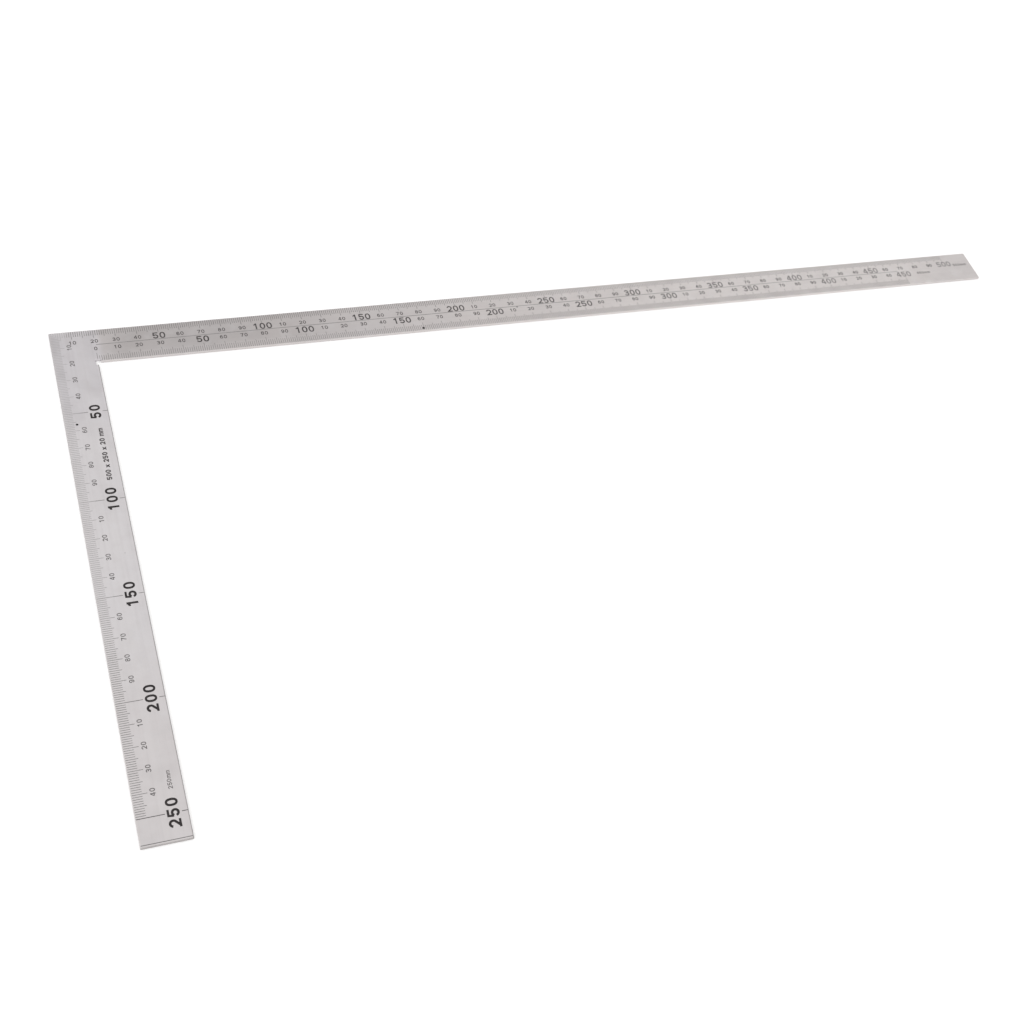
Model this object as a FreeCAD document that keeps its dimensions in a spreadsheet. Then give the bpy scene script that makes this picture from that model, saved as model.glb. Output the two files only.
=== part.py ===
import FreeCAD, Part
import math
import os
import Sketcher

# Steel square rule: one L-shaped stainless blank with black marking enamel on its top face.
# Frame: origin at the outer corner on the bottom face, +X along the long arm, the short arm
# runs along -Y, +Z is the marked side. All sizes in millimetres.

os.makedirs("parts", exist_ok=True)
doc = FreeCAD.newDocument("steel_square")
V = FreeCAD.Vector

sheet = doc.addObject("Spreadsheet::Sheet", "sizes")
SIZES = [
    # blank
    ("arm_width", 20.0),
    ("long_length", 518.0),
    ("short_length", 261.7),
    ("plate_thick", 1.4),
    ("notch_depth", 1.15),
    ("notch_along_x", 1.2),
    ("notch_along_y", 2.0),
    ("corner_round", 0.4),
    ("edge_round", 0.28),
    # enamel
    ("enamel_thick", 0.03),
    ("tick_width", 0.17),
    ("line_width", 0.28),
    ("edge_gap", 0.32),
    # outer scale of the long arm, measured from the outer edge
    ("outer_range", 500.0),
    ("outer_mm_end", 3.5),
    ("outer_half_end", 4.4),
    ("outer_cm_end", 5.0),
    ("outer_small_base", 8.25),
    ("outer_large_base", 9.1),
    # inner scale of the long arm, measured from the outer edge
    ("inner_range", 450.0),
    ("inner_mm_end", 16.4),
    ("inner_half_end", 15.5),
    ("inner_cm_end", 14.75),
    ("inner_small_base", 13.0),
    ("inner_large_base", 13.95),
    ("centre_line_row", 9.47),
    ("centre_line_start", 20.5),
    ("centre_line_stop", 467.0),
    # short arm scale, measured from the outer edge
    ("short_range", 250.0),
    ("short_mm_end", 4.2),
    ("short_half_end", 5.2),
    ("short_cm_end", 6.2),
    ("short_small_base", 9.2),
    ("short_large_base", 16.65),
    ("cross_gap_start", 11.1),
    ("cross_gap_stop", 17.5),
    ("end_line_back", 0.95),
    # numeral heights and pitches
    ("small_height", 2.15),
    ("small_pitch", 1.9),
    ("large_height", 3.85),
    ("large_pitch", 3.3),
    ("short_small_height", 2.1),
    ("short_small_pitch", 1.85),
    ("short_large_height", 4.85),
    ("short_large_pitch", 4.45),
    ("range_mark_height", 1.75),
    ("range_mark_pitch", 1.7),
    ("short_range_mark_pitch", 1.5),
    ("size_mark_height", 2.35),
    ("size_mark_pitch", 2.0),
    # stroke weights, as a share of the figure height
    ("small_weight", 0.165),
    ("large_weight", 0.17),
    ("short_large_weight", 0.20),
    ("range_mark_weight", 0.17),
    ("size_mark_weight", 0.21),
]
for row, (name, value) in enumerate(SIZES, start=1):
    sheet.set("A%d" % row, name)
    sheet.set("B%d" % row, str(value))
    sheet.setAlias("B%d" % row, name)
doc.recompute()


def size(name):
    return float(getattr(sheet, name))


nodes = []  # finished sub-parts, in order


def origin_feature(body, role):
    return [f for f in body.Origin.OriginFeatures if f.Role == role][0]


def new_body(label):
    body = doc.addObject("PartDesign::Body", label)
    body.Label = label
    return body


def new_sketch(body, name, z_name=None):
    sk = doc.addObject("Sketcher::SketchObject", name)
    body.addObject(sk)
    sk.AttachmentSupport = [(origin_feature(body, "XY_Plane"), "")]
    sk.MapMode = "FlatFace"
    if z_name:
        sk.setExpression("AttachmentOffset.Base.z", "sizes." + z_name)
    return sk


def polyline_sketch(sk, points):
    """Closed outline of straight lines, its corners joined; returns the first line's number."""
    first = sk.GeometryCount
    n = len(points)
    for i in range(n):
        a, b = points[i], points[(i + 1) % n]
        sk.addGeometry(Part.LineSegment(V(a[0], a[1], 0), V(b[0], b[1], 0)), False)
    for i in range(n):
        a, b = points[i], points[(i + 1) % n]
        sk.addConstraint(
            Sketcher.Constraint("Coincident", first + i, 2, first + (i + 1) % n, 1)
        )
        kind = "Horizontal" if abs(a[1] - b[1]) < 1e-9 else "Vertical"
        sk.addConstraint(Sketcher.Constraint(kind, first + i))
    return first


def bind(sk, kind, args, value, name, expression):
    """A named driving dimension of a sketch, tied to the sheet."""
    i = sk.addConstraint(Sketcher.Constraint(kind, *args, value))
    sk.renameConstraint(i, name)
    sk.setExpression("Constraints." + name, expression)


# ---------------------------------------------------------------- the blank
w = size("arm_width")
nd, nx, ny = size("notch_depth"), size("notch_along_x"), size("notch_along_y")
L, S = size("long_length"), size("short_length")

plate = new_body("plate")
sk = new_sketch(plate, "plate_outline")
outline = [
    (0, 0),
    (L, 0),
    (L, -w),
    (w + nx, -w),
    (w + nx, -(w - nd)),
    (w - nd, -(w - nd)),
    (w - nd, -(w + ny)),
    (w, -(w + ny)),
    (w, -S),
    (0, -S),
]
polyline_sketch(sk, outline)
sk.addConstraint(Sketcher.Constraint("Coincident", 0, 1, -1, 1))
bind(sk, "DistanceX", (0, 1, 0, 2), L, "long_side", "sizes.long_length")
bind(sk, "DistanceY", (1, 2, 1, 1), w, "long_end", "sizes.arm_width")
bind(sk, "DistanceX", (8, 2, 8, 1), w, "short_end", "sizes.arm_width")
bind(sk, "DistanceY", (9, 1, 9, 2), S, "short_side", "sizes.short_length")
bind(sk, "DistanceY", (3, 1, 3, 2), nd, "notch_up", "sizes.notch_depth")
bind(sk, "DistanceX", (6, 1, 6, 2), nd, "notch_in", "sizes.notch_depth")
bind(
    sk,
    "DistanceX",
    (4, 2, 4, 1),
    nd + nx,
    "notch_x",
    "sizes.notch_depth + sizes.notch_along_x",
)
bind(
    sk,
    "DistanceY",
    (5, 2, 5, 1),
    nd + ny,
    "notch_y",
    "sizes.notch_depth + sizes.notch_along_y",
)
pad = doc.addObject("PartDesign::Pad", "plate_pad")
plate.addObject(pad)
pad.Profile = sk
pad.setExpression("Length", "sizes.plate_thick")
doc.recompute()


def edges_where(shape, test):
    return ["Edge%d" % (i + 1) for i, e in enumerate(shape.Edges) if test(e)]


def upright(e):
    a, b = e.Vertexes[0].Point, e.Vertexes[-1].Point
    return abs(a.x - b.x) < 1e-6 and abs(a.y - b.y) < 1e-6


def at_outer_corner(e):
    p = e.Vertexes[0].Point
    return upright(e) and (abs(p.x) < 1e-6 or abs(p.x - L) < 1e-6 or abs(p.y + S) < 1e-6)


corners = doc.addObject("PartDesign::Fillet", "plate_corners")
plate.addObject(corners)
corners.Base = (pad, edges_where(pad.Shape, at_outer_corner))
corners.setExpression("Radius", "sizes.corner_round")
doc.recompute()

T = size("plate_thick")


def level(e):
    z = [v.Point.z for v in e.Vertexes]
    return max(z) - min(z) < 1e-6 and (abs(z[0]) < 1e-6 or abs(z[0] - T) < 1e-6)


rims = doc.addObject("PartDesign::Fillet", "plate_rims")
plate.addObject(rims)
rims.Base = (corners, edges_where(corners.Shape, level))
rims.setExpression("Radius", "sizes.edge_round")
doc.recompute()
plate.Tip = rims
doc.recompute()
nodes.append(plate)


# ---------------------------------------------------------------- enamel: lines and patterned ticks
def pad_rectangle(body, name, x0, x1, y0, y1, bound):
    """A thin enamel bar on the top face. bound: four expressions for x0, x1, y0, y1, all given
    as positive distances from the outer edges."""
    s = new_sketch(body, name + "_sketch", "plate_thick")
    polyline_sketch(s, [(x0, -y0), (x0, -y1), (x1, -y1), (x1, -y0)])
    bind(s, "DistanceX", (-1, 1, 0, 1), x0, "x_near", bound[0])
    bind(s, "DistanceX", (-1, 1, 1, 2), x1, "x_far", bound[1])
    bind(s, "DistanceY", (0, 1, -1, 1), y0, "y_near", bound[2])
    bind(s, "DistanceY", (0, 2, -1, 1), y1, "y_far", bound[3])
    p = doc.addObject("PartDesign::Pad", name + "_pad")
    body.addObject(p)
    p.Profile = s
    p.setExpression("Length", "sizes.enamel_thick")
    return p


def repeat(body, name, feature, axis_role, step, times, back=False):
    lp = doc.addObject("PartDesign::LinearPattern", name)
    body.addObject(lp)
    lp.Originals = feature if isinstance(feature, list) else [feature]
    lp.Direction = (origin_feature(body, axis_role), [""])
    lp.Mode = "Extent"
    lp.Length = step * (times - 1)
    lp.Occurrences = times
    lp.Reversed = back
    return lp


def bar_body(label, x0, x1, y0, y1, bound):
    body = new_body(label)
    p = pad_rectangle(body, label, x0, x1, y0, y1, bound)
    return body, p


lw, tw, gap = size("line_width"), size("tick_width"), size("edge_gap")

# centre line of the long arm
row = size("centre_line_row")
centre_line, _ = bar_body(
    "centre_line",
    size("centre_line_start"),
    size("centre_line_stop"),
    row - lw / 2,
    row + lw / 2,
    (
        "sizes.centre_line_start",
        "sizes.centre_line_stop",
        "sizes.centre_line_row - sizes.line_width / 2",
        "sizes.centre_line_row + sizes.line_width / 2",
    ),
)

# dark line before the end of the short arm
back = size("short_length") - size("end_line_back")
short_end_line, _ = bar_body(
    "short_end_line",
    gap,
    w - gap,
    back - lw / 2,
    back + lw / 2,
    (
        "sizes.edge_gap",
        "sizes.arm_width - sizes.edge_gap",
        "sizes.short_length - sizes.end_line_back - sizes.line_width / 2",
        "sizes.short_length - sizes.end_line_back + sizes.line_width / 2",
    ),
)

# full-width lines of the short arm every 50 mm, broken round the large numerals
short_cross_lines = new_body("short_cross_lines")
cross_a = pad_rectangle(
    short_cross_lines,
    "cross_outer",
    gap,
    size("cross_gap_start"),
    50 - lw / 2,
    50 + lw / 2,
    (
        "sizes.edge_gap",
        "sizes.cross_gap_start",
        "sizes.short_range / 5 - sizes.line_width / 2",
        "sizes.short_range / 5 + sizes.line_width / 2",
    ),
)
cross_b = pad_rectangle(
    short_cross_lines,
    "cross_inner",
    size("cross_gap_stop"),
    w - gap,
    50 - lw / 2,
    50 + lw / 2,
    (
        "sizes.cross_gap_stop",
        "sizes.arm_width - sizes.edge_gap",
        "sizes.short_range / 5 - sizes.line_width / 2",
        "sizes.short_range / 5 + sizes.line_width / 2",
    ),
)
doc.recompute()
short_cross_lines.Tip = repeat(
    short_cross_lines, "cross_lines_repeat", [cross_a, cross_b], "Y_Axis", 50.0, 5, True
)


def tick_row_body(label, x0, x1, y0, y1, bound, axis_role, step, times, back):
    """One enamel tick repeated at equal steps along its scale."""
    body, p = bar_body(label, x0, x1, y0, y1, bound)
    doc.recompute()
    body.Tip = repeat(body, label + "_repeat", p, axis_role, step, times, back)
    return body


half_first = 5.0
outer_half_cm_ticks = tick_row_body(
    "outer_half_cm_ticks",
    half_first - tw / 2,
    half_first + tw / 2,
    gap,
    size("outer_half_end"),
    (
        "sizes.outer_range / 100 - sizes.tick_width / 2",
        "sizes.outer_range / 100 + sizes.tick_width / 2",
        "sizes.edge_gap",
        "sizes.outer_half_end",
    ),
    "X_Axis",
    10.0,
    50,
    False,
)
outer_cm_ticks = tick_row_body(
    "outer_cm_ticks",
    10 - tw / 2,
    10 + tw / 2,
    gap,
    size("outer_cm_end"),
    (
        "sizes.outer_range / 50 - sizes.tick_width / 2",
        "sizes.outer_range / 50 + sizes.tick_width / 2",
        "sizes.edge_gap",
        "sizes.outer_cm_end",
    ),
    "X_Axis",
    10.0,
    50,
    False,
)
inner_half_cm_ticks = tick_row_body(
    "inner_half_cm_ticks",
    w + 5 - tw / 2,
    w + 5 + tw / 2,
    size("inner_half_end"),
    w - gap,
    (
        "sizes.arm_width + sizes.inner_range / 90 - sizes.tick_width / 2",
        "sizes.arm_width + sizes.inner_range / 90 + sizes.tick_width / 2",
        "sizes.inner_half_end",
        "sizes.arm_width - sizes.edge_gap",
    ),
    "X_Axis",
    10.0,
    45,
    False,
)
short_half_cm_ticks = tick_row_body(
    "short_half_cm_ticks",
    gap,
    size("short_half_end"),
    5 - tw / 2,
    5 + tw / 2,
    (
        "sizes.edge_gap",
        "sizes.short_half_end",
        "sizes.short_range / 50 - sizes.tick_width / 2",
        "sizes.short_range / 50 + sizes.tick_width / 2",
    ),
    "Y_Axis",
    10.0,
    25,
    True,
)
doc.recompute()


# ---------------------------------------------------------------- enamel: shapes cut to outline
def prism(loops):
    """A thin enamel solid on the top face from an outer loop and any holes."""
    faces = []
    for pts in loops:
        wire = Part.makePolygon([V(x, y, T) for x, y in pts + [pts[0]]])
        faces.append(Part.Face(wire))
    face = faces[0]
    if len(faces) > 1:
        face = face.cut(faces[1:]).Faces[0]
    if face.normalAt(0, 0).z < 0:
        face.reverse()
    return face.extrude(V(0, 0, size("enamel_thick")))


def bar(x0, x1, y0, y1):
    """An enamel bar; y0 and y1 are distances from the outer edge of the long arm."""
    return prism([[(x0, -y1), (x1, -y1), (x1, -y0), (x0, -y0)]])


def group(label, solids):
    feature = doc.addObject("Part::Feature", label)
    feature.Label = label
    feature.Shape = Part.makeCompound(solids)
    feature.Placement = FreeCAD.Placement()
    return feature


# single millimetre ticks; near the outer corner both scales stop at the 45 degree line
def outer_mm():
    out = []
    for k in range(1, int(size("outer_range"))):
        if k % 5:
            out.append(
                bar(k - tw / 2, k + tw / 2, gap, min(size("outer_mm_end"), k - 0.15))
            )
    return out


def inner_mm():
    out = []
    for k in range(1, int(size("inner_range"))):
        if k % 5:
            x = w + k
            foot = w - gap if k > nx + 0.3 else w - nd - gap
            out.append(bar(x - tw / 2, x + tw / 2, size("inner_mm_end"), foot))
    return out


def inner_cm():
    out = []
    for k in range(0, int(size("inner_range")) + 1, 10):
        x = w + k
        foot = w - gap if k else w - nd - gap
        out.append(bar(x - tw / 2, x + tw / 2, size("inner_cm_end"), foot))
    return out


def short_mm():
    out = []
    for k in range(1, int(size("short_range"))):
        if k % 5:
            out.append(
                bar(gap, min(size("short_mm_end"), k - 0.15), k - tw / 2, k + tw / 2)
            )
    return out


def short_cm():
    out = []
    for k in range(10, int(size("short_range")) + 1, 10):
        if k % 50:
            out.append(bar(gap, size("short_cm_end"), k - tw / 2, k + tw / 2))
    return out


outer_mm_ticks = group("outer_mm_ticks", outer_mm())
inner_mm_ticks = group("inner_mm_ticks", inner_mm())
inner_cm_ticks = group("inner_cm_ticks", inner_cm())
short_mm_ticks = group("short_mm_ticks", short_mm())
short_cm_ticks = group("short_cm_ticks", short_cm())


# ---------------------------------------------------------------- numerals
# Plain upright figures drawn on a cell one unit high. Each is a union of straight-sided strokes,
# so its outline is a polygon; loops() gives the outline and the counters.
FIG_W = 0.70  # width of a figure
M_WIDE = 0.92  # width of the m


def arc(cx, cy, a, b, start, stop, n):
    out = []
    for i in range(n + 1):
        t = math.radians(start + (stop - start) * i / n)
        out.append((cx + a * math.cos(t), cy + b * math.sin(t)))
    return out


def oval(cx, cy, a, b, power, n=28):
    out = []
    for i in range(n):
        t = 2 * math.pi * i / n
        c, s = math.cos(t), math.sin(t)
        out.append(
            (
                cx + a * math.copysign(abs(c) ** (2 / power), c),
                cy + b * math.copysign(abs(s) ** (2 / power), s),
            )
        )
    return out


def stroke(points, width):
    """The mitred outline of a stroke along an open path."""
    left, right = [], []
    n = len(points)
    for i, (x, y) in enumerate(points):
        dirs = []
        for a, b in ((i - 1, i), (i, i + 1)):
            if 0 <= a and b < n:
                dx, dy = points[b][0] - points[a][0], points[b][1] - points[a][1]
                d = math.hypot(dx, dy)
                dirs.append((-dy / d, dx / d))
        mx, my = sum(d[0] for d in dirs), sum(d[1] for d in dirs)
        m = math.hypot(mx, my)
        mx, my = mx / m, my / m
        k = width / 2 / max(mx * dirs[0][0] + my * dirs[0][1], 0.4)
        left.append((x + mx * k, y + my * k))
        right.append((x - mx * k, y - my * k))
    return left + right[::-1]


def rect(x0, x1, y0, y1):
    return [(x0, y0), (x1, y0), (x1, y1), (x0, y1)]


def flat(pts):
    return Part.Face(Part.makePolygon([V(x, y, 0) for x, y in pts + [pts[0]]]))


def ring(cx, cy, a, b, power, s, sv, n=28):
    """The outside and the counter of a closed oval stroke with centre-line semi-axes a and b."""
    return (
        flat(oval(cx, cy, a + s / 2, b + sv / 2, power, n)),
        flat(oval(cx, cy, a - s / 2, b - sv / 2, power, n)),
    )


def figure(char, fine, s):
    """fine is 1 for the large figures and 0.5 for the small ones, which need fewer corners.
    s is the stroke weight."""
    W = FIG_W
    h = s / 2
    cx, a = W / 2, (W - s) / 2
    sv = s * 0.92
    parts, holes = [], []
    if char == "0":
        outside, counter = ring(cx, 0.5, a, 0.5 - sv / 2, 2.25, s, sv, int(36 * fine))
        parts, holes = [outside], [counter]
    elif char == "1":
        x = W * 0.56
        parts = [
            flat(rect(x - h, x + h, 0, 1)),
            flat([(x, 1), (x - 0.08, 1), (x - 0.14, 0.90), (W * 0.14, 0.83), (W * 0.14, 0.83 - s * 0.9), (x, 0.875 - s * 0.9)]),
        ]
    elif char == "2":
        b = 0.262
        bowl = arc(cx, 1 - h - b, a, b, 168, -38, int(16 * fine))
        parts = [
            flat(stroke(bowl + [(s * 0.62, s * 0.35)], s)),
            flat(rect(0.0, W, 0, sv)),
        ]
    elif char == "3":
        bu, bl = 0.474 * (0.5 - h), 0.526 * (0.5 - h)
        waist = h + 2 * bl
        parts = [
            flat(stroke(arc(cx, 1 - h - bu, a * 0.93, bu, 165, -90, int(18 * fine)), s)),
            flat(stroke(arc(cx, h + bl, a, bl, 90, -165, int(18 * fine)), s)),
            flat(rect(cx - 0.12, cx + 0.01, waist - h, waist + h)),
        ]
    elif char == "4":
        x = W * 0.70
        parts = [
            flat(rect(x - h, x + h, 0, 1)),
            flat(rect(0, W, 0.215, 0.215 + sv)),
            flat(stroke([(-0.02, 0.215 + sv * 0.4), (x, 1.02)], s * 0.95)),
        ]
    elif char == "5":
        b = (0.59 - h) / 2
        parts = [
            flat(rect(W * 0.13, W * 0.94, 1 - sv, 1)),
            flat(stroke([(W * 0.20, 1.0), (W * 0.125, 0.47)], s * 0.95)),
            flat(stroke(arc(cx - 0.005, h + b, a, b, 152, -164, int(20 * fine)), s)),
        ]
    elif char in "69":
        b = (0.57 - h) / 2
        outside, counter = ring(cx, h + b, a, b, 2.05, s, sv, int(30 * fine) + 1)
        tail = arc(cx, 0.5, a, 0.5 - h, 192, 34, int(16 * fine))
        parts = [outside, flat(stroke(tail, s))]
        holes = [counter]
    elif char == "7":
        parts = [
            flat(rect(0, W, 1 - sv, 1)),
            flat(
                stroke(
                    [(W - h * 1.05, 1 - sv * 0.5), (W * 0.62, 0.56), (W * 0.44, 0.27), (W * 0.37, 0)],
                    s,
                )
            ),
        ]
    elif char == "8":
        bu, bl = 0.476 * (0.5 - h), 0.545 * (0.5 - h)
        n = int(28 * fine)
        top, top_hole = ring(cx, 1 - h - bu, a * 0.90, bu, 2.05, s, sv, n)
        low, low_hole = ring(cx, h + bl, a, bl, 2.05, s, sv, n)
        parts, holes = [top, low], [top_hole, low_hole]
    elif char == "x":
        parts = [
            flat(stroke([(0.02, -0.05), (W - 0.02, 0.75)], s)),
            flat(stroke([(0.02, 0.75), (W - 0.02, -0.05)], s)),
        ]
    elif char == "m":
        t = s * 0.85
        parts = [
            flat(rect(0, t, 0, 0.74)),
            flat(rect(M_WIDE / 2 - t / 2, M_WIDE / 2 + t / 2, 0, 0.70)),
            flat(rect(M_WIDE - t, M_WIDE, 0, 0.66)),
            flat([(0, 0.74 - sv), (M_WIDE, 0.74 - sv), (M_WIDE, 0.66), (M_WIDE - 0.09, 0.74), (0, 0.74)]),
        ]
    whole = parts[0]
    if len(parts) > 1:
        whole = whole.fuse(parts[1:]).removeSplitter()
    if holes:
        whole = whole.cut(holes)
    if char == "m":
        frame = flat(rect(0, M_WIDE, 0, 0.74))
    elif char == "x":
        frame = flat(rect(0, W, 0, 0.70))
    else:
        frame = flat(rect(0, W, 0, 1))
    whole = whole.common(frame).removeSplitter()
    if len(whole.Faces) != 1:
        raise RuntimeError("figure %s is in %d pieces" % (char, len(whole.Faces)))
    face = whole.Faces[0]
    outer = face.OuterWire
    loops = [[(p.Point.x, p.Point.y) for p in outer.OrderedVertexes]]
    for wire in face.Wires:
        if not wire.isSame(outer):
            loops.append([(p.Point.x, p.Point.y) for p in wire.OrderedVertexes])
    if char == "9":
        loops = [[(W - x, 1 - y) for x, y in lp] for lp in loops]
    return loops


FIGURES = {}


ADVANCE = {" ": 0.5, "m": 1.2}  # share of the pitch taken by a character, 1 for the figures


def text(string, height, pitch, weight, centre, base, turned=False):
    """Solids of a string. Not turned: reads along +X, centred at x=centre, with its foot at
    y=-base. Turned: reads along +Y, centred at y=-centre, with its foot at x=base."""
    steps = [ADVANCE.get(c, 1.0) * pitch for c in string]
    width = sum(steps[:-1]) + (M_WIDE if string[-1] == "m" else FIG_W) * height
    fine = 1 if height > 3 else 0.5
    out = []
    for i, char in enumerate(string):
        if char == " ":
            continue
        key = (char, fine, weight)
        if key not in FIGURES:
            FIGURES[key] = figure(*key)
        u0 = sum(steps[:i]) - width / 2
        loops = []
        for lp in FIGURES[key]:
            pts = []
            for x, y in lp:
                u, v = u0 + x * height, y * height
                if turned:
                    pts.append((base - v, -centre + u))
                else:
                    pts.append((centre + u, -base + v))
            loops.append(pts)
        out.append(prism(loops))
    return out


def numbers(label, values, at, height, pitch, weight, base, turned=False):
    """values: the figures; at(value): where each is centred on its scale."""
    solids = []
    for v in values:
        solids += text(str(v), height, pitch, weight, at(v), base, turned)
    return group(label, solids)


tens = [k for k in range(10, 500, 10) if k % 50]


def small_label(k):
    """Between the fifties only the last two figures are marked."""
    return k % 100


def small_numbers(label, upto, at, height, pitch, base, turned=False, zero=False):
    solids = []
    weight = size("small_weight")
    if zero:
        solids += text("0", height, pitch, weight, at(0), base, turned)
    for k in tens:
        if k < upto:
            solids += text(str(small_label(k)), height, pitch, weight, at(k), base, turned)
    return group(label, solids)


outer_small_numerals = small_numbers(
    "outer_small_numerals",
    500,
    lambda k: k,
    size("small_height"),
    size("small_pitch"),
    size("outer_small_base"),
)
outer_large_numerals = numbers(
    "outer_large_numerals",
    range(50, 501, 50),
    lambda k: k,
    size("large_height"),
    size("large_pitch"),
    size("large_weight"),
    size("outer_large_base"),
)
inner_small_numerals = small_numbers(
    "inner_small_numerals",
    450,
    lambda k: w + k,
    size("small_height"),
    size("small_pitch"),
    size("inner_small_base"),
    zero=True,
)
inner_large_numerals = numbers(
    "inner_large_numerals",
    range(50, 451, 50),
    lambda k: w + k,
    size("large_height"),
    size("large_pitch"),
    size("large_weight"),
    size("inner_large_base"),
)
short_small_numerals = small_numbers(
    "short_small_numerals",
    250,
    lambda k: k,
    size("short_small_height"),
    size("short_small_pitch"),
    size("short_small_base"),
    turned=True,
)
short_large_numerals = numbers(
    "short_large_numerals",
    range(50, 251, 50),
    lambda k: k,
    size("short_large_height"),
    size("short_large_pitch"),
    size("short_large_weight"),
    size("short_large_base"),
    turned=True,
)

# end-of-scale marks and the size mark, figures only with the unit sign
mh, mp, mw = size("range_mark_height"), size("range_mark_pitch"), size("range_mark_weight")
outer_range_mark = group("outer_range_mark", text("500mm", mh, mp, mw, 510.3, 9.35))
inner_range_mark = group("inner_range_mark", text("450mm", mh, mp, mw, 483.4, 12.9))
short_range_mark = group(
    "short_range_mark",
    text("250mm", mh, size("short_range_mark_pitch"), mw, 236.2, 15.85, True),
)
sh, sp, sw = size("size_mark_height"), size("size_mark_pitch"), size("size_mark_weight")
size_mark = group("size_mark", text("500 x 250 x 20 mm", sh, sp, sw, 74.7, 16.0, True))

doc.recompute()

nodes += [
    outer_mm_ticks,
    outer_half_cm_ticks,
    outer_cm_ticks,
    outer_small_numerals,
    outer_large_numerals,
    inner_mm_ticks,
    inner_half_cm_ticks,
    inner_cm_ticks,
    inner_small_numerals,
    inner_large_numerals,
    centre_line,
    short_mm_ticks,
    short_half_cm_ticks,
    short_cm_ticks,
    short_cross_lines,
    short_small_numerals,
    short_large_numerals,
    short_end_line,
    outer_range_mark,
    inner_range_mark,
    short_range_mark,
    size_mark,
]

# ---------------------------------------------------------------- checks and export
for obj in doc.Objects:
    if "Invalid" in obj.State or "Error" in obj.State:
        raise RuntimeError("%s is %s" % (obj.Label, obj.State))
for node in nodes:
    shape = node.Shape
    if shape.isNull() or not shape.isValid():
        raise RuntimeError("%s has no valid shape" % node.Label)
    if not shape.Solids:
        raise RuntimeError("%s has no solid" % node.Label)
expected = {
    "outer_mm_ticks": 400,
    "outer_half_cm_ticks": 50,
    "outer_cm_ticks": 50,
    "inner_mm_ticks": 360,
    "inner_half_cm_ticks": 45,
    "inner_cm_ticks": 46,
    "short_mm_ticks": 200,
    "short_half_cm_ticks": 25,
    "short_cm_ticks": 20,
    "short_cross_lines": 10,
    "plate": 1,
    "centre_line": 1,
    "short_end_line": 1,
}
for node in nodes:
    count = len(node.Shape.Solids)
    print(node.Label, count, "solids", round(node.Shape.Volume, 4), "mm3")
    if node.Label in expected and count != expected[node.Label]:
        raise RuntimeError("%s has %d solids" % (node.Label, count))
    node.Shape.exportStep("parts/%s.step" % node.Label)
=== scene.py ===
import math

import bpy
from mathutils import Matrix, Vector

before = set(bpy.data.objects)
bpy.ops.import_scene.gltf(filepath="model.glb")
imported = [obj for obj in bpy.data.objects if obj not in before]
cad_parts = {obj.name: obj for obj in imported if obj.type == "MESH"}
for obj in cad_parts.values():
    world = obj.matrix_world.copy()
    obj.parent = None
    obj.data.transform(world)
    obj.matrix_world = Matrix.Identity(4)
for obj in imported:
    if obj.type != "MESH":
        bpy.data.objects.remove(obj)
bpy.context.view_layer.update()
scene = bpy.context.scene

MM = 0.001
ARM = 20.0  # arm width, mm
LONG = 518.0
SHORT = 261.7
THICK = 1.4


# ---------------------------------------------------------------- node helpers
class Net:
    """Shorthand for building one node tree."""

    def __init__(self, tree):
        self.tree = tree
        self.n = tree.nodes

    def add(self, kind, **props):
        node = self.n.new(kind)
        for key, value in props.items():
            setattr(node, key, value)
        return node

    def join(self, out, into):
        self.tree.links.new(out, into)

    def put(self, socket, value):
        if hasattr(value, "is_output"):
            self.join(value, socket)
        else:
            socket.default_value = value

    def math(self, op, a, b=None, c=None, clamp=False):
        node = self.add("ShaderNodeMath", operation=op, use_clamp=clamp)
        for i, v in enumerate((a, b, c)):
            if v is not None:
                self.put(node.inputs[i], v)
        return node.outputs[0]

    def ramp(self, value, a, b, lo=0.0, hi=1.0, smooth=True):
        node = self.add("ShaderNodeMapRange")
        node.interpolation_type = "SMOOTHSTEP" if smooth else "LINEAR"
        node.clamp = True
        self.put(node.inputs["Value"], value)
        node.inputs["From Min"].default_value = a
        node.inputs["From Max"].default_value = b
        self.put(node.inputs["To Min"], lo)
        self.put(node.inputs["To Max"], hi)
        return node.outputs["Result"]

    def lerp(self, a, b, t):
        return self.math("ADD", a, self.math("MULTIPLY", self.math("SUBTRACT", b, a), t))

    def mix(self, fac, a, b, blend="MIX"):
        node = self.add("ShaderNodeMix", data_type="RGBA", blend_type=blend)
        self.put(node.inputs[0], fac)
        self.put(node.inputs[6], a)
        self.put(node.inputs[7], b)
        return node.outputs[2]

    def noise(self, coords, scale, detail=2.0, rough=0.5, stretch=None, turn=None):
        if stretch or turn:
            m = self.add("ShaderNodeMapping")
            self.join(coords, m.inputs["Vector"])
            if stretch:
                m.inputs["Scale"].default_value = stretch
            if turn:
                m.inputs["Rotation"].default_value = turn
            coords = m.outputs[0]
        node = self.add("ShaderNodeTexNoise")
        self.join(coords, node.inputs["Vector"])
        node.inputs["Scale"].default_value = scale
        node.inputs["Detail"].default_value = detail
        node.inputs["Roughness"].default_value = rough
        return node.outputs["Fac"]


def new_material(name):
    mat = bpy.data.materials.new(name)
    mat.use_nodes = True
    net = Net(mat.node_tree)
    shader = net.n["Principled BSDF"]
    return mat, net, shader


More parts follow.
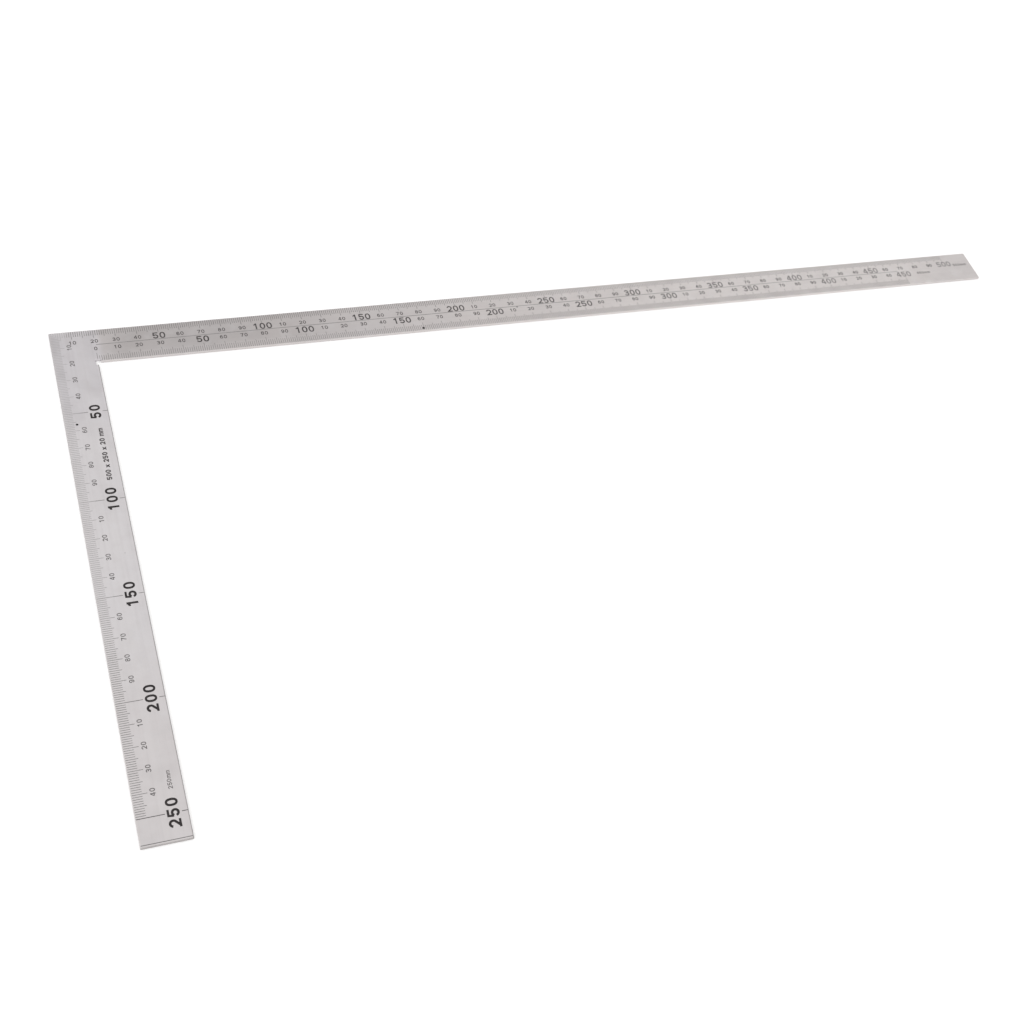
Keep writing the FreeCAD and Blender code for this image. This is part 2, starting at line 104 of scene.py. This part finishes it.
# ---------------------------------------------------------------- brushed stainless steel
def stainless():
    mat, k, s = new_material("stainless_brushed")
    coords = k.add("ShaderNodeTexCoord").outputs["Object"]
    xyz = k.add("ShaderNodeSeparateXYZ")
    k.join(coords, xyz.inputs[0])
    x, y = xyz.outputs[0], xyz.outputs[1]
    across = k.math("MULTIPLY", y, -1.0)  # distance from the outer edge of the long arm
    marked = k.math("GREATER_THAN", xyz.outputs[2], 0.0012)  # the top face only

    # each arm is brushed along its own length, the short arm's brushing runs through the corner
    arm = k.ramp(x, 0.0200, 0.0245)

    def both(a, b):
        return k.lerp(a, b, arm)

    def brushed(along, over, detail, rough):
        return both(
            k.noise(coords, 1.0, detail, rough, stretch=(over, along, over)),
            k.noise(coords, 1.0, detail, rough, stretch=(along, over, over)),
        )

    fine = brushed(60.0, 5200.0, 2.0, 0.55)
    streak = brushed(14.0, 900.0, 3.0, 0.6)
    broad = brushed(3.0, 120.0, 2.0, 0.5)
    mottle = k.noise(coords, 22.0, 3.0, 0.55)
    smear = k.noise(coords, 75.0, 3.0, 0.55)
    handled = k.noise(coords, 70.0, 4.0, 0.6)
    cloud = k.noise(coords, 170.0, 2.0, 0.5)
    grain = k.noise(coords, 2600.0, 2.0, 0.6)

    # distance in from the nearest outer edge, and from the inner edges
    from_edge = k.math("MINIMUM", x, across)
    in_long = k.math("MINIMUM", k.math("ADD", y, ARM * MM), k.math("SUBTRACT", LONG * MM, x))
    in_short = k.math("MINIMUM", k.math("SUBTRACT", ARM * MM, x), k.math("ADD", y, SHORT * MM))
    edge = k.math("MINIMUM", from_edge, k.math("MAXIMUM", in_long, in_short))
    rim = k.ramp(edge, 0.0, 0.0009, 1.0, 0.0)

    # colour: grey steel, slightly uneven in the brushing; the long arm warmer, and darker as a painted shade for
    # its brushing turned across the light
    plain = k.mix(k.ramp(mottle, 0.35, 0.68), (0.656, 0.632, 0.648, 1), (0.632, 0.610, 0.630, 1))
    long_warm_painted_light = k.mix(k.ramp(mottle, 0.35, 0.68), (0.604, 0.568, 0.562, 1), (0.586, 0.556, 0.556, 1))
    # painted sheen: brighter over the middle of the short arm and the far half of the long arm, standing in for
    # the light the steel reflects there
    painted_sheen = k.math("MULTIPLY", k.ramp(across, 0.040, 0.075), k.ramp(across, 0.185, 0.215, 1.0, 0.0))
    plain = k.mix(k.math("MULTIPLY", painted_sheen, 0.42), plain, (0.720, 0.697, 0.700, 1))
    # a slightly warmer cast towards the end of the short arm
    plain = k.mix(k.ramp(across, 0.140, 0.225, 0.0, 0.55), plain, (0.652, 0.618, 0.612, 1))
    painted_sheen = k.math("MULTIPLY", k.ramp(x, 0.120, 0.360), k.ramp(x, 0.455, 0.505, 1.0, 0.45))
    long_warm_painted_light = k.mix(k.math("MULTIPLY", painted_sheen, 0.62), long_warm_painted_light, (0.720, 0.682, 0.668, 1))
    tone = k.mix(arm, plain, long_warm_painted_light)
    # darker and blotchy over the long arm near the corner
    near_corner_dark = k.math("MULTIPLY", k.ramp(x, 0.0205, 0.034), k.ramp(x, 0.095, 0.150, 1.0, 0.0))
    near_corner_dark = k.math("MULTIPLY", near_corner_dark, k.ramp(across, 0.0150, 0.0170, 1.0, 0.35))
    tone = k.mix(k.math("MULTIPLY", near_corner_dark, k.ramp(handled, 0.25, 0.75, 0.14, 0.22)), tone, (0.16, 0.145, 0.14, 1))
    tone = k.mix(k.ramp(streak, 0.40, 0.72, 0.0, 0.12), tone, (0.500, 0.475, 0.475, 1))
    tone = k.mix(k.ramp(broad, 0.45, 0.75, 0.0, 0.12), tone, (0.690, 0.668, 0.662, 1))
    tone = k.mix(k.ramp(grain, 0.56, 0.74, 0.0, 0.10), tone, (0.430, 0.415, 0.415, 1))
    tone = k.mix(k.ramp(smear, 0.46, 0.72, 0.0, 0.075), tone, (0.24, 0.225, 0.225, 1))
    # faint clouds from wiping, a little cooler or warmer than the steel round them
    tone = k.mix(k.ramp(cloud, 0.52, 0.72, 0.0, 0.10), tone, (0.50, 0.455, 0.46, 1))
    tone = k.mix(k.ramp(cloud, 0.28, 0.46, 0.09, 0.0), tone, (0.80, 0.80, 0.83, 1))
    # a trace of ink left in the steel between the graduations
    outer_zone = k.math("MULTIPLY", k.ramp(across, 0.0033, 0.0038, 1.0, 0.0), k.ramp(x, 0.500, 0.501, 1.0, 0.0))
    inner_zone = k.math("MULTIPLY", k.ramp(across, 0.0161, 0.0166), k.ramp(x, 0.470, 0.471, 1.0, 0.0))
    inner_zone = k.math("MULTIPLY", inner_zone, arm)
    short_zone = k.math("MULTIPLY", k.ramp(x, 0.0040, 0.0044, 1.0, 0.0), k.ramp(across, 0.2500, 0.2505, 1.0, 0.0))
    short_zone = k.math("MULTIPLY", short_zone, k.ramp(across, 0.040, 0.110, 0.60, 0.0))
    outer_zone = k.math("MULTIPLY", outer_zone, k.ramp(x, 0.10, 0.45, 0.35, 0.12))
    inner_zone = k.math("MULTIPLY", inner_zone, k.ramp(x, 0.180, 0.310, 0.25, 1.0))
    inner_zone = k.math("MULTIPLY", inner_zone, k.ramp(x, 0.370, 0.430, 1.0, 0.45))
    zone = k.math("MAXIMUM", k.math("MAXIMUM", outer_zone, inner_zone), short_zone)
    trace = k.math("MULTIPLY", zone, k.ramp(handled, 0.30, 0.70, 0.04, 0.10))
    trace = k.math("MULTIPLY", trace, marked)
    tone = k.mix(trace, tone, (0.11, 0.10, 0.10, 1))
    # painted highlight: the steel lighter within 0.9 mm of the edges
    tone = k.mix(k.math("MULTIPLY", rim, 0.25), tone, (0.70, 0.66, 0.65, 1))
    # painted shade: a dark line along the inner edge of the short arm, and a dark band along its end edge
    inner_edge_painted_shade = k.math("MULTIPLY", k.ramp(x, 0.0195, 0.0198), k.math("LESS_THAN", x, 0.02005))
    inner_edge_painted_shade = k.math("MULTIPLY", inner_edge_painted_shade, k.math("GREATER_THAN", across, 0.0215))
    tone = k.mix(k.math("MULTIPLY", inner_edge_painted_shade, 0.62), tone, (0.16, 0.145, 0.145, 1))
    end_edge_painted_shade = k.ramp(across, 0.2613, 0.2616)
    tone = k.mix(k.math("MULTIPLY", end_edge_painted_shade, 0.55), tone, (0.20, 0.185, 0.18, 1))
    # specks of old ink
    for sx, sy, r, strength in (
        (5.4, 56.5, 0.61, 1.0),
        (179.7, 18.4, 0.73, 1.0),
        (232.9, 10.0, 0.50, 0.60),
        (15.2, 129.0, 0.24, 0.35),
        (3.5, 108.0, 0.30, 0.35),
    ):
        dx = k.math("SUBTRACT", x, sx * MM)
        dy = k.math("ADD", y, sy * MM)
        d = k.math("SQRT", k.math("ADD", k.math("MULTIPLY", dx, dx), k.math("MULTIPLY", dy, dy)))
        d = k.math("ADD", d, k.math("MULTIPLY", k.math("SUBTRACT", grain, 0.5), 0.00025))
        dot = k.math("MULTIPLY", k.ramp(d, r * MM * 0.75, r * MM * 1.1, strength, 0.0), marked)
        tone = k.mix(dot, tone, (0.010, 0.008, 0.008, 1))
    k.join(tone, s.inputs["Base Color"])
    s.inputs["Metallic"].default_value = 1.0

    # roughness: satin, with the brushing, handling marks and a smoother rim
    rough = k.math("ADD", 0.345, k.math("MULTIPLY", k.math("SUBTRACT", streak, 0.5), 0.08))
    rough = k.math("ADD", rough, k.math("MULTIPLY", k.math("SUBTRACT", fine, 0.5), 0.08))
    rough = k.math("ADD", rough, k.ramp(handled, 0.52, 0.70, 0.0, 0.04))
    rough = k.math("SUBTRACT", rough, k.math("MULTIPLY", rim, 0.07), clamp=True)
    k.join(rough, s.inputs["Roughness"])
    s.inputs["Anisotropic"].default_value = 0.80
    # the gloss spreads across the brushing
    spread = k.add("ShaderNodeCombineXYZ")
    k.join(k.math("SUBTRACT", 1.0, arm), spread.inputs[0])
    k.join(arm, spread.inputs[1])
    k.join(spread.outputs[0], s.inputs["Tangent"])

    # relief: brushing lines, fine grain and a few long scratches
    scratch = k.noise(coords, 1.0, 1.0, 0.4, stretch=(35.0, 1500.0, 1500.0), turn=(0, 0, 0.16))
    scratch = k.ramp(scratch, 0.70, 0.78)
    height = k.math("ADD", k.math("MULTIPLY", fine, 0.6), k.math("MULTIPLY", streak, 0.4))
    height = k.math("SUBTRACT", height, k.math("MULTIPLY", scratch, 0.30))
    height = k.math("ADD", height, k.math("MULTIPLY", grain, 0.15))
    bump = k.add("ShaderNodeBump")
    bump.inputs["Strength"].default_value = 0.15
    bump.inputs["Distance"].default_value = 0.00001
    k.join(height, bump.inputs["Height"])
    k.join(bump.outputs[0], s.inputs["Normal"])
    return mat


# ---------------------------------------------------------------- marking enamel
def enamel(name, dark, worn, patchy, thinned=0.0, rubbed=0.0, faded=0.0, fresh=0.0):
    """thinned: how thin the ink gets towards the far end of the long arm.
    rubbed: how far the ink of the first half of the short arm is worn back.
    faded, fresh: paler ink up to the middle of the short arm, darker ink at its end."""
    mat, k, s = new_material(name)
    coords = k.add("ShaderNodeTexCoord").outputs["Object"]
    xyz = k.add("ShaderNodeSeparateXYZ")
    k.join(coords, xyz.inputs[0])
    x, y = xyz.outputs[0], xyz.outputs[1]
    cloud = k.noise(coords, 420.0, 3.0, 0.6)
    pores = k.noise(coords, 5200.0, 2.0, 0.6)
    drag = k.noise(coords, 1.0, 2.0, 0.5, stretch=(60.0, 3600.0, 3600.0))
    tone = k.mix(k.ramp(cloud, 0.40, 0.72, 0.0, patchy), dark, worn)
    tone = k.mix(k.ramp(pores, 0.60, 0.78, 0.0, 0.35), tone, worn)
    if thinned:
        tone = k.mix(k.ramp(x, 0.15, 0.50, 0.0, thinned), tone, worn)
    if rubbed:
        held = k.math("MULTIPLY", k.ramp(x, 0.0065, 0.0075, 1.0, 0.0), k.ramp(y, -0.195, -0.130))
        tone = k.mix(k.math("MULTIPLY", held, rubbed), tone, (0.42, 0.41, 0.41, 1))
        # nearly gone close to the corner
        gone = k.math("MULTIPLY", k.ramp(x, 0.0060, 0.0110, 0.45, 0.0), k.ramp(y, -0.075, -0.035))
        tone = k.mix(gone, tone, (0.50, 0.485, 0.49, 1))
    if faded:
        tone = k.mix(k.ramp(y, -0.185, -0.155, 0.0, faded), tone, (0.42, 0.41, 0.41, 1))
    if fresh:
        tone = k.mix(k.ramp(y, -0.245, -0.225, fresh, 0.0), tone, (0.030, 0.027, 0.027, 1))
    k.join(tone, s.inputs["Base Color"])
    s.inputs["Metallic"].default_value = 0.0
    rough = k.math("ADD", 0.46, k.math("MULTIPLY", k.math("SUBTRACT", cloud, 0.5), 0.22))
    rough = k.math("ADD", rough, k.math("MULTIPLY", k.math("SUBTRACT", drag, 0.5), 0.15), clamp=True)
    k.join(rough, s.inputs["Roughness"])
    s.inputs["Specular IOR Level"].default_value = 0.35
    bump = k.add("ShaderNodeBump")
    bump.inputs["Strength"].default_value = 0.25
    bump.inputs["Distance"].default_value = 0.00001
    k.join(k.math("ADD", pores, drag), bump.inputs["Height"])
    k.join(bump.outputs[0], s.inputs["Normal"])
    return mat


steel = stainless()
bold_ink = enamel("enamel_bold", (0.014, 0.011, 0.011, 1), (0.085, 0.075, 0.075, 1), 0.20)
long_ink = enamel("enamel_long_bold", (0.050, 0.044, 0.044, 1), (0.27, 0.255, 0.255, 1), 0.20, thinned=0.85)
fine_ink = enamel("enamel_fine", (0.060, 0.054, 0.054, 1), (0.18, 0.17, 0.17, 1), 0.45)
short_ink = enamel("enamel_short_fine", (0.115, 0.108, 0.108, 1), (0.24, 0.23, 0.23, 1), 0.45)
mark_ink = enamel("enamel_marks", (0.035, 0.030, 0.030, 1), (0.14, 0.13, 0.13, 1), 0.35)
range_ink = enamel("enamel_range_marks", (0.130, 0.120, 0.120, 1), (0.26, 0.25, 0.25, 1), 0.40)
tick_ink = enamel("enamel_ticks", (0.065, 0.060, 0.060, 1), (0.26, 0.25, 0.25, 1), 0.45, thinned=0.62, rubbed=0.66)
inner_tick_ink = enamel("enamel_inner_ticks", (0.150, 0.140, 0.140, 1), (0.24, 0.23, 0.23, 1), 0.45, thinned=0.30)
line_ink = enamel("enamel_lines", (0.170, 0.160, 0.160, 1), (0.32, 0.31, 0.31, 1), 0.45, thinned=0.85, rubbed=0.50, faded=0.12, fresh=0.75)
end_ink = enamel("enamel_end_line", (0.170, 0.160, 0.160, 1), (0.32, 0.31, 0.31, 1), 0.45, fresh=0.25)

INK = {
    "short_large_numerals": bold_ink,
    "outer_large_numerals": long_ink,
    "inner_large_numerals": long_ink,
    "short_small_numerals": short_ink,
    "size_mark": mark_ink,
    "outer_range_mark": range_ink,
    "inner_range_mark": range_ink,
    "short_range_mark": range_ink,
    "inner_mm_ticks": inner_tick_ink,
    "inner_half_cm_ticks": inner_tick_ink,
    "inner_cm_ticks": inner_tick_ink,
    "centre_line": line_ink,
    "short_cross_lines": line_ink,
    "short_end_line": end_ink,
}
for name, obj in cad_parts.items():
    if name == "plate":
        mat = steel
    else:
        mat = INK.get(name, tick_ink if name.endswith("_ticks") else fine_ink)
    for slot in obj.material_slots:
        slot.material = mat


# ---------------------------------------------------------------- floor
def make_floor():
    mesh = bpy.data.meshes.new("floor")
    r = 4.0
    mesh.from_pydata([(-r, -r, 0), (r, -r, 0), (r, r, 0), (-r, r, 0)], [], [(0, 1, 2, 3)])
    floor = bpy.data.objects.new("floor", mesh)
    floor.location = (0.26, -0.13, -0.00002)
    scene.collection.objects.link(floor)
    mat, k, s = new_material("floor_white")
    coords = k.add("ShaderNodeTexCoord").outputs["Object"]
    paper = k.noise(coords, 6.0, 3.0, 0.5)
    k.join(k.mix(k.ramp(paper, 0.3, 0.7), (0.93, 0.93, 0.93, 1), (0.95, 0.95, 0.95, 1)), s.inputs["Base Color"])
    s.inputs["Roughness"].default_value = 0.9
    s.inputs["Specular IOR Level"].default_value = 0.1
    s.inputs["Emission Color"].default_value = (1, 1, 1, 1)
    s.inputs["Emission Strength"].default_value = 0.16
    floor.data.materials.append(mat)
    return floor


make_floor()


# ---------------------------------------------------------------- light
world = bpy.data.worlds.new("studio")
scene.world = world
world.use_nodes = True
k = Net(world.node_tree)
bg = k.n["Background"]
d = k.add("ShaderNodeTexCoord").outputs["Generated"]
sep = k.add("ShaderNodeSeparateXYZ")
k.join(d, sep.inputs[0])
dx, dy, dz = sep.outputs
# a white room with a dark flag standing low beyond the long arm
flat = k.math("SQRT", k.math("ADD", k.math("MULTIPLY", dx, dx), k.math("MULTIPLY", dy, dy)))
side = k.math("DIVIDE", dx, k.math("MAXIMUM", flat, 0.001))
flag = k.math("MULTIPLY", k.ramp(side, 0.12, 0.52, 1.0, 0.0), k.ramp(side, -0.95, -0.55))
flag = k.math("MULTIPLY", flag, k.ramp(dy, 0.0, 0.15))
flag = k.math("MULTIPLY", flag, k.ramp(dz, 0.42, 0.70, 1.0, 0.0))
shade = k.mix(flag, (1.0, 0.995, 0.99, 1), (0.20, 0.185, 0.18, 1))
# the horizon on the far and right sides is dark, it draws the thin dark rims
low = k.math("MULTIPLY", k.ramp(dz, 0.12, 0.36, 1.0, 0.0), k.ramp(k.math("ADD", dx, dy), -0.2, 0.3))
shade = k.mix(low, shade, (0.30, 0.28, 0.27, 1))
# behind the object the room is plain white, the dark parts only show in the steel
shade = k.mix(k.add("ShaderNodeLightPath").outputs["Is Camera Ray"], shade, (1.0, 1.0, 1.0, 1))
k.join(shade, bg.inputs["Color"])
bg.inputs["Strength"].default_value = 1.0


def softbox(name, at, aim, w, h, power, colour=(1, 1, 1)):
    light = bpy.data.lights.new(name, "AREA")
    light.shape = "RECTANGLE"
    light.size, light.size_y = w, h
    light.energy = power
    light.color = colour
    obj = bpy.data.objects.new(name, light)
    obj.location = at
    obj.rotation_mode = "QUATERNION"
    obj.rotation_quaternion = (Vector(aim) - Vector(at)).to_track_quat("-Z", "Y")
    scene.collection.objects.link(obj)
    return obj


softbox("key", (-0.5, -1.5, 1.8), (0.2, -0.1, 0), 2.4, 2.4, 7.2)
softbox("side_fill", (-1.8, -0.3, 1.2), (0.2, -0.1, 0), 1.8, 1.8, 4.0, (1.0, 0.985, 0.97))

# ---------------------------------------------------------------- camera
cam_data = bpy.data.cameras.new("camera")
cam = bpy.data.objects.new("camera", cam_data)
scene.collection.objects.link(cam)
right = Vector((0.934911327, -0.297678235, 0.193205795))
down = Vector((-0.128323622, -0.791153380, -0.598004496))
ahead = Vector((0.330868341, 0.534288310, -0.777857405))
turn = Matrix((right, -down, -ahead)).transposed().to_4x4()
place = Vector((-35.78110, -482.96964, 521.66936)) * MM
cam.matrix_world = Matrix.Translation(place) @ turn
cam_data.sensor_width = 36.0
cam_data.lens = 1439.27171 * 36.0 / 1024
cam_data.shift_x = (512 - 498.0000) / 1024
cam_data.shift_y = (495.0000 - 512) / 1024
cam_data.clip_start, cam_data.clip_end = 0.01, 50.0
scene.camera = cam

scene.view_settings.view_transform = "Standard"
scene.view_settings.look = "None"
scene.view_settings.exposure = 0.0
scene.view_settings.gamma = 1.0
